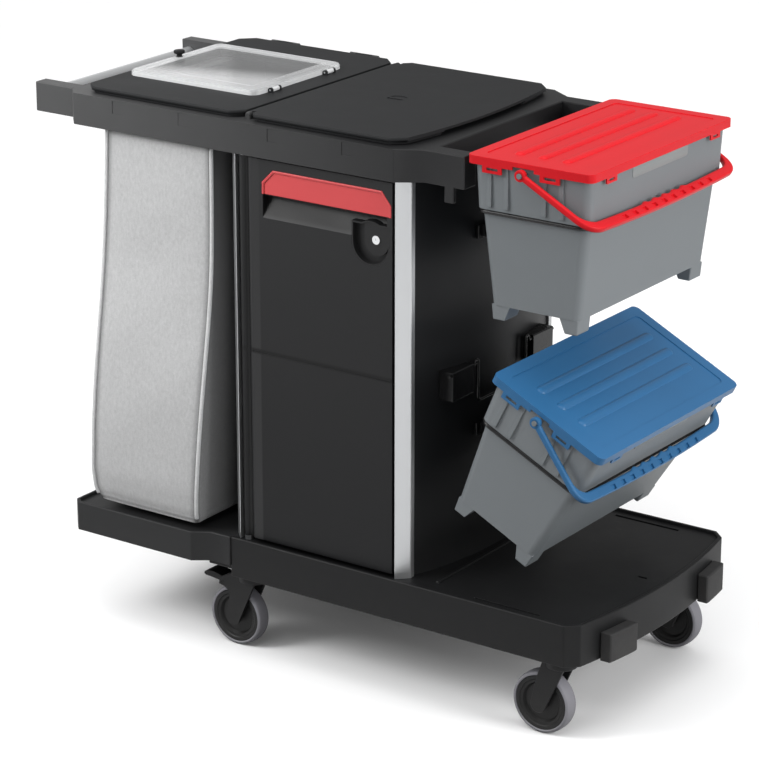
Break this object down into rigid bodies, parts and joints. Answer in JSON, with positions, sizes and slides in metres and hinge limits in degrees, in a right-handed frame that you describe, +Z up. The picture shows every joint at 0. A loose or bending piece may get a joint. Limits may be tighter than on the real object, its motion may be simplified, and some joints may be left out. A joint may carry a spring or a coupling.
{
  "type": "janitor cart",
  "caption": "Janitor cart with a lockable cabinet, bag bay under lids, swivel casters, and lidded boxes in tilting wire rings.",
  "frame": {"origin": "floor under the centre of the outline", "axes": "+X to the box end, -Y to the door side, +Z up"},
  "size_m": [1.3451, 0.63, 1.127],
  "materials": {
    "black_plastic": "fine grain",
    "bumper_rubber": "matt",
    "aluminium": "satin anodised",
    "steel": "zinc plated",
    "black_steel": "satin black coat",
    "bag_fabric": "woven heather",
    "insert_red": "satin",
    "lock_metal": "polished",
    "clear_plastic": "clear",
    "grey_plastic": "satin",
    "red_plastic": "semi gloss",
    "blue_plastic": "semi gloss",
    "tyre_grey": "matt"
  },
  "bodies": {
    "cart": {"base_platform": "black_plastic", "end_bumpers": "bumper_rubber", "bag_tray": "black_plastic", "front_right_post": "aluminium", "front_left_post": "aluminium", "back_right_post": "aluminium", "back_left_post": "aluminium", "top_frame": "black_plastic", "push_bar": "aluminium", "back_panel": "black_plastic", "end_panel": "black_plastic", "bag_side_panel": "black_plastic", "shelf": "black_plastic", "top_tray": "black_plastic", "door_hinge_pins": "steel", "lid_hinge_pins": "steel", "hook_blocks": "black_plastic", "hook_wire": "black_steel", "upper_box_bracket": "black_steel", "lower_box_bracket": "black_steel", "bag": "bag_fabric", "caster_stems": "steel"},
    "door": {"door_panel": "black_plastic", "door_insert": "insert_red", "lock_housing": "black_plastic"},
    "lock": {"lock_cylinder": "lock_metal", "lock_cam": "steel"},
    "bag_cover": {"bag_lid": "black_plastic", "flap_hinge_pins": "steel"},
    "flap": {"clear_flap": "clear_plastic", "flap_knob": "black_plastic"},
    "tray_cover": {"tray_lid": "black_plastic"},
    "upper_hoop": {"upper_ring": "black_steel"},
    "upper_tub": {"upper_box": "grey_plastic"},
    "upper_cover": {"upper_box_lid": "red_plastic"},
    "upper_bail": {"upper_handle": "red_plastic"},
    "lower_hoop": {"lower_ring": "black_steel"},
    "lower_tub": {"lower_box": "grey_plastic"},
    "lower_cover": {"lower_box_lid": "blue_plastic"},
    "lower_bail": {"lower_handle": "blue_plastic"},
    "caster_front_right": {"fork_front_right": "black_plastic", "axle_front_right": "steel"},
    "wheel_front_right": {"hub_front_right": "black_plastic", "tyre_front_right": "tyre_grey"},
    "caster_back_right": {"fork_back_right": "black_plastic", "axle_back_right": "steel"},
    "wheel_back_right": {"hub_back_right": "black_plastic", "tyre_back_right": "tyre_grey"},
    "caster_front_left": {"fork_front_left": "black_plastic", "axle_front_left": "steel"},
    "wheel_front_left": {"hub_front_left": "black_plastic", "tyre_front_left": "tyre_grey"},
    "caster_back_left": {"fork_back_left": "black_plastic", "axle_back_left": "steel"},
    "wheel_back_left": {"hub_back_left": "black_plastic", "tyre_back_left": "tyre_grey"},
    "brake_front_left": {"pedal_front_left": "black_plastic"},
    "brake_back_left": {"pedal_back_left": "black_plastic"}
  },
  "joints": [
    {"name": "door_hinge", "type": "hinge", "parent": "cart", "child": "door", "pos_m": [-0.1435, -0.262, 0.64], "axis": [0, 0, -1], "range_deg": [0, 100]},
    {"name": "lock_turn", "type": "hinge", "parent": "door", "child": "lock", "pos_m": [0.17, -0.25, 0.911], "axis": [0, -1, 0], "range_deg": [0, 90]},
    {"name": "bag_lid_hinge", "type": "hinge", "parent": "cart", "child": "bag_cover", "pos_m": [-0.34, 0.272, 1.101], "axis": [-1, 0, 0], "range_deg": [0, 95]},
    {"name": "flap_hinge", "type": "hinge", "parent": "bag_cover", "child": "flap", "pos_m": [-0.197, 0, 1.112], "axis": [0, 1, 0], "range_deg": [0, 110]},
    {"name": "tray_lid_hinge", "type": "hinge", "parent": "cart", "child": "tray_cover", "pos_m": [-0.141, 0, 1.10015], "axis": [0, -1, 0], "range_deg": [0, 85]},
    {"name": "upper_ring_tilt", "type": "hinge", "parent": "cart", "child": "upper_hoop", "pos_m": [0.357, 0, 0.996], "axis": [0, 1, 0], "range_deg": [0, 26.6]},
    {"name": "upper_box_lift", "type": "slide", "parent": "upper_hoop", "child": "upper_tub", "axis": [0, 0, 1], "range_m": [0, 0.23]},
    {"name": "upper_lid_lift", "type": "slide", "parent": "upper_tub", "child": "upper_cover", "axis": [0, 0, 1], "range_m": [0, 0.1]},
    {"name": "upper_handle_swing", "type": "hinge", "parent": "upper_tub", "child": "upper_bail", "pos_m": [0.479, 0, 1.0803], "axis": [0, -1, 0], "range_deg": [0, 110]},
    {"name": "lower_ring_tilt", "type": "hinge", "parent": "cart", "child": "lower_hoop", "pos_m": [0.373, 0, 0.6], "axis": [0, 1, 0], "range_deg": [-26.6, 0]},
    {"name": "lower_box_lift", "type": "slide", "parent": "lower_hoop", "child": "lower_tub", "axis": [0.4478, 0, 0.8942], "range_m": [0, 0.08]},
    {"name": "lower_lid_lift", "type": "slide", "parent": "lower_tub", "child": "lower_cover", "axis": [0.4478, 0, 0.8942], "range_m": [0, 0.08]},
    {"name": "lower_handle_swing", "type": "hinge", "parent": "lower_tub", "child": "lower_bail", "pos_m": [0.51983, 0, 0.62075], "axis": [0, -1, 0], "range_deg": [0, 110]},
    {"name": "swivel_front_right", "type": "hinge", "parent": "cart", "child": "caster_front_right", "pos_m": [0.573, -0.2417, 0.16], "axis": [0, 0, 1], "continuous": true},
    {"name": "roll_front_right", "type": "hinge", "parent": "caster_front_right", "child": "wheel_front_right", "pos_m": [0.537, -0.2417, 0.0625], "axis": [0, 1, 0], "continuous": true},
    {"name": "swivel_back_right", "type": "hinge", "parent": "cart", "child": "caster_back_right", "pos_m": [0.573, 0.2417, 0.16], "axis": [0, 0, 1], "continuous": true},
    {"name": "roll_back_right", "type": "hinge", "parent": "caster_back_right", "child": "wheel_back_right", "pos_m": [0.537, 0.2417, 0.0625], "axis": [0, 1, 0], "continuous": true},
    {"name": "swivel_front_left", "type": "hinge", "parent": "cart", "child": "caster_front_left", "pos_m": [-0.149, -0.2417, 0.16], "axis": [0, 0, 1], "continuous": true},
    {"name": "roll_front_left", "type": "hinge", "parent": "caster_front_left", "child": "wheel_front_left", "pos_m": [-0.185, -0.2417, 0.0625], "axis": [0, 1, 0], "continuous": true},
    {"name": "swivel_back_left", "type": "hinge", "parent": "cart", "child": "caster_back_left", "pos_m": [-0.149, 0.2417, 0.16], "axis": [0, 0, 1], "continuous": true},
    {"name": "roll_back_left", "type": "hinge", "parent": "caster_back_left", "child": "wheel_back_left", "pos_m": [-0.185, 0.2417, 0.0625], "axis": [0, 1, 0], "continuous": true},
    {"name": "pedal_press_front_left", "type": "hinge", "parent": "caster_front_left", "child": "brake_front_left", "pos_m": [-0.21, -0.2417, 0.134], "axis": [0, -1, 0], "range_deg": [0, 15]},
    {"name": "pedal_press_back_left", "type": "hinge", "parent": "caster_back_left", "child": "brake_back_left", "pos_m": [-0.21, 0.2417, 0.134], "axis": [0, -1, 0], "range_deg": [0, 15]}
  ]
}
